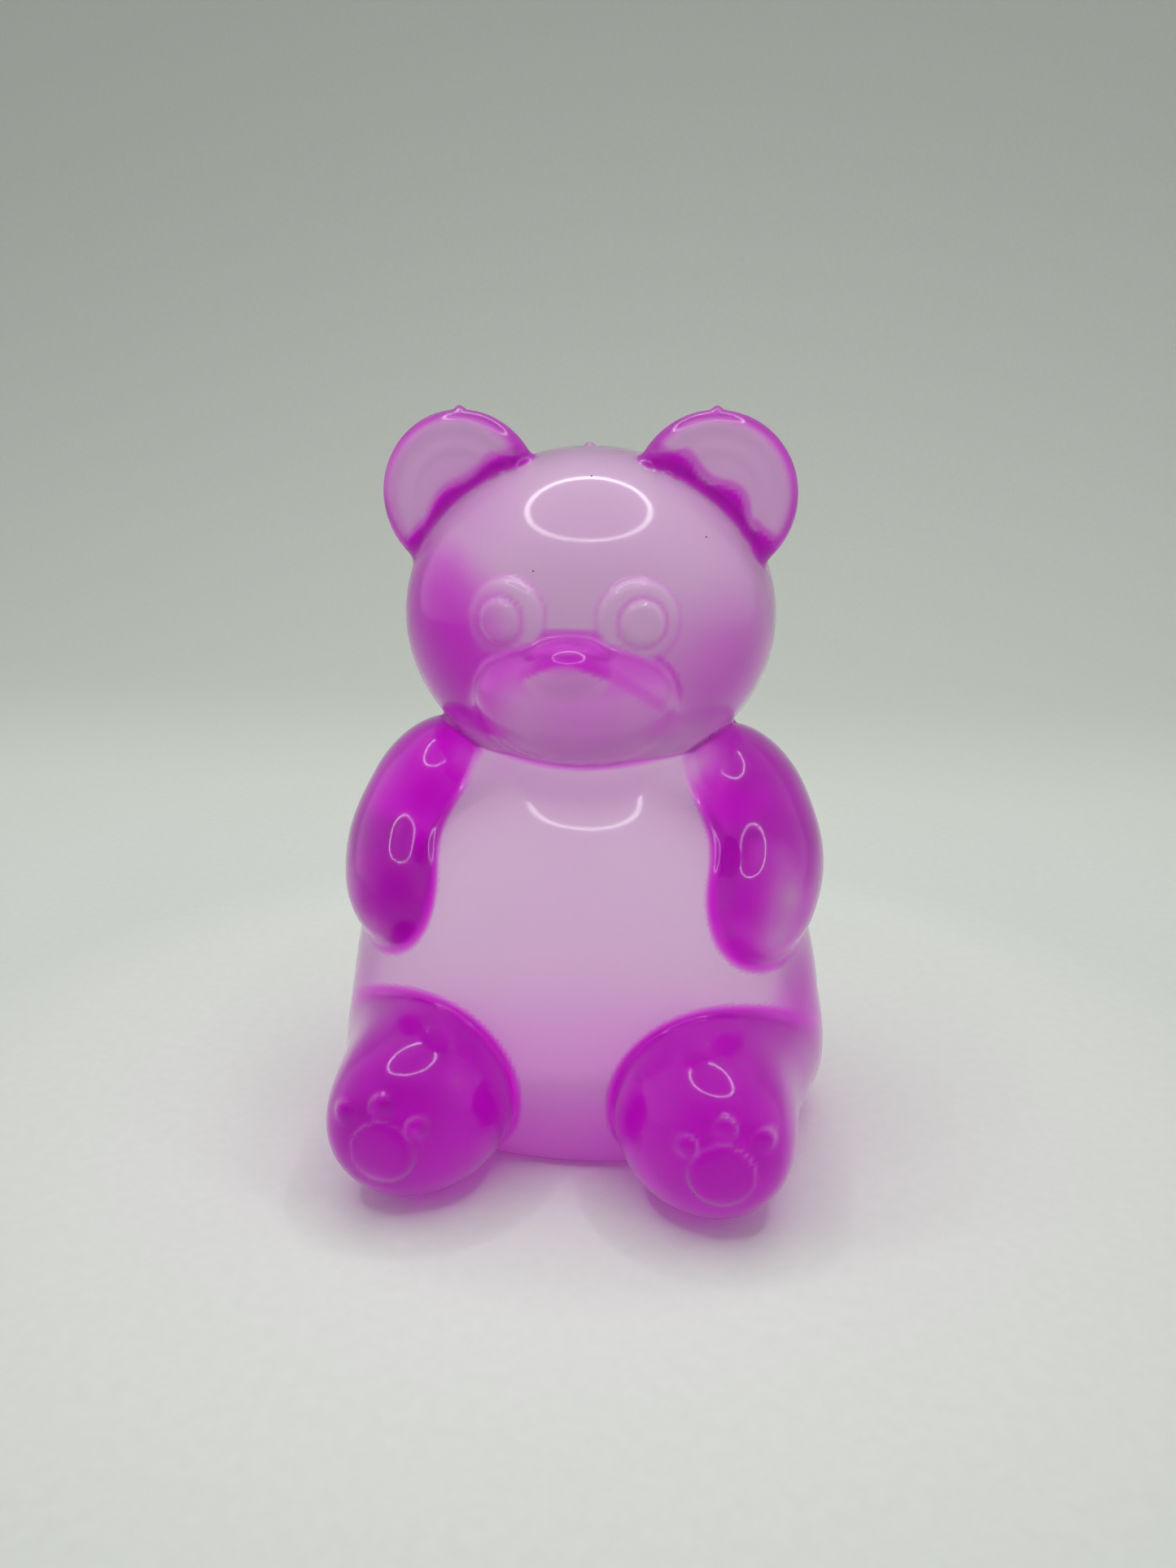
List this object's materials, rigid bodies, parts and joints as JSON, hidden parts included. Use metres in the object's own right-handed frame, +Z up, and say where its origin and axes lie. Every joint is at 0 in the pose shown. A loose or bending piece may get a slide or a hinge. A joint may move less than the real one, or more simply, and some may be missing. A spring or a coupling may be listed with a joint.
{
  "type": "clear plastic gummy bear figure",
  "caption": "Seated bear figure, round eared, with stubby arms and paw-printed soles, moulded whole and solid in clear magenta plastic.",
  "frame": {"origin": "bottom centre of the bounding box, on the flat seat", "axes": "+Z up, -Y towards the viewer that the bear faces, +X to that viewer's right"},
  "size_m": [0.0426, 0.0398, 0.0603],
  "materials": {
    "clear_magenta_plastic": "polished, see-through, magenta all through"
  },
  "bodies": {
    "root": {"bear": "clear_magenta_plastic"}
  },
  "joints": []
}
